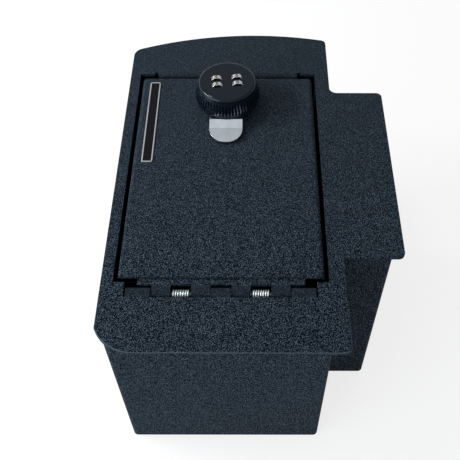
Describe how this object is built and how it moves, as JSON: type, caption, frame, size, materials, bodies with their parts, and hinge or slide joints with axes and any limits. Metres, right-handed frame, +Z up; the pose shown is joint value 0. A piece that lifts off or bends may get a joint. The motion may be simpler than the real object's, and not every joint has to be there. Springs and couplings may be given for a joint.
{
  "type": "vehicle console safe",
  "caption": "Flanged steel console safe with a side ear, a sprung front-hinged lid and a round combination knob that turns a latch cam under a keeper lip.",
  "frame": {"origin": "middle of the bounding box on the tub's base", "axes": "+X to the side ear, +Y from the hinge to the lock, +Z up out of the lid"},
  "size_m": [0.211, 0.3148, 0.2129],
  "materials": {
    "powder_coat": "textured black powder coat",
    "pin_steel": "plain steel",
    "spring_wire": "bright zinc plate",
    "badge_rim": "satin silver",
    "badge_field": "gloss black",
    "lock_black": "satin black",
    "polished_steel": "polished stainless steel",
    "knob_black": "smooth satin black",
    "dial_metal": "nickel plate",
    "zinc_steel": "zinc plate",
    "spring_steel": "blued spring steel"
  },
  "bodies": {
    "tub": {"top_plate": "powder_coat", "tub_wrap": "powder_coat", "pocket_wrap": "powder_coat", "tub_floor": "powder_coat", "hinge_pin": "pin_steel", "hinge_spring_left": "spring_wire", "hinge_spring_right": "spring_wire"},
    "lid": {"lid_skin": "powder_coat", "hinge_leaf": "powder_coat", "badge_plate": "badge_rim", "badge_inlay": "badge_field", "lock_spacer": "lock_black", "pull_tab": "polished_steel", "lock_housing": "lock_black", "lock_washer": "zinc_steel", "lock_nut": "zinc_steel"},
    "knob": {"knob_body": "knob_black", "knob_cap": "knob_black", "knob_screws": "zinc_steel", "dial_axles": "zinc_steel", "detent_leaves": "spring_steel", "spindle": "zinc_steel", "spindle_clip": "zinc_steel", "latch_cam": "zinc_steel", "cam_washer": "zinc_steel", "cam_screw": "zinc_steel"},
    "dial_front_left": {"dial_front_left": "dial_metal"},
    "dial_front_right": {"dial_front_right": "dial_metal"},
    "dial_rear_left": {"dial_rear_left": "dial_metal"},
    "dial_rear_right": {"dial_rear_right": "dial_metal"}
  },
  "joints": [
    {"name": "lid_hinge", "type": "hinge", "parent": "tub", "child": "lid", "pos_m": [-0.0231, -0.11127, 0.18015], "axis": [1, 0, 0], "range_deg": [0, 94], "deforming": ["hinge_spring_left", "hinge_spring_right"]},
    {"name": "knob_turn", "type": "hinge", "parent": "lid", "child": "knob", "pos_m": [-0.0222, 0.0676, 0.185], "axis": [0, 0, 1], "range_deg": [0, 84]},
    {"name": "dial_front_left_spin", "type": "hinge", "parent": "knob", "child": "dial_front_left", "pos_m": [-0.02985, 0.06287, 0.2069], "axis": [-0.1045, 0.9945, 0], "continuous": true},
    {"name": "dial_front_right_spin", "type": "hinge", "parent": "knob", "child": "dial_front_right", "pos_m": [-0.01374, 0.06457, 0.2069], "axis": [-0.1045, 0.9945, 0], "continuous": true},
    {"name": "dial_rear_left_spin", "type": "hinge", "parent": "knob", "child": "dial_rear_left", "pos_m": [-0.03066, 0.07063, 0.2069], "axis": [-0.1045, 0.9945, 0], "continuous": true},
    {"name": "dial_rear_right_spin", "type": "hinge", "parent": "knob", "child": "dial_rear_right", "pos_m": [-0.01455, 0.07233, 0.2069], "axis": [-0.1045, 0.9945, 0], "continuous": true}
  ]
}
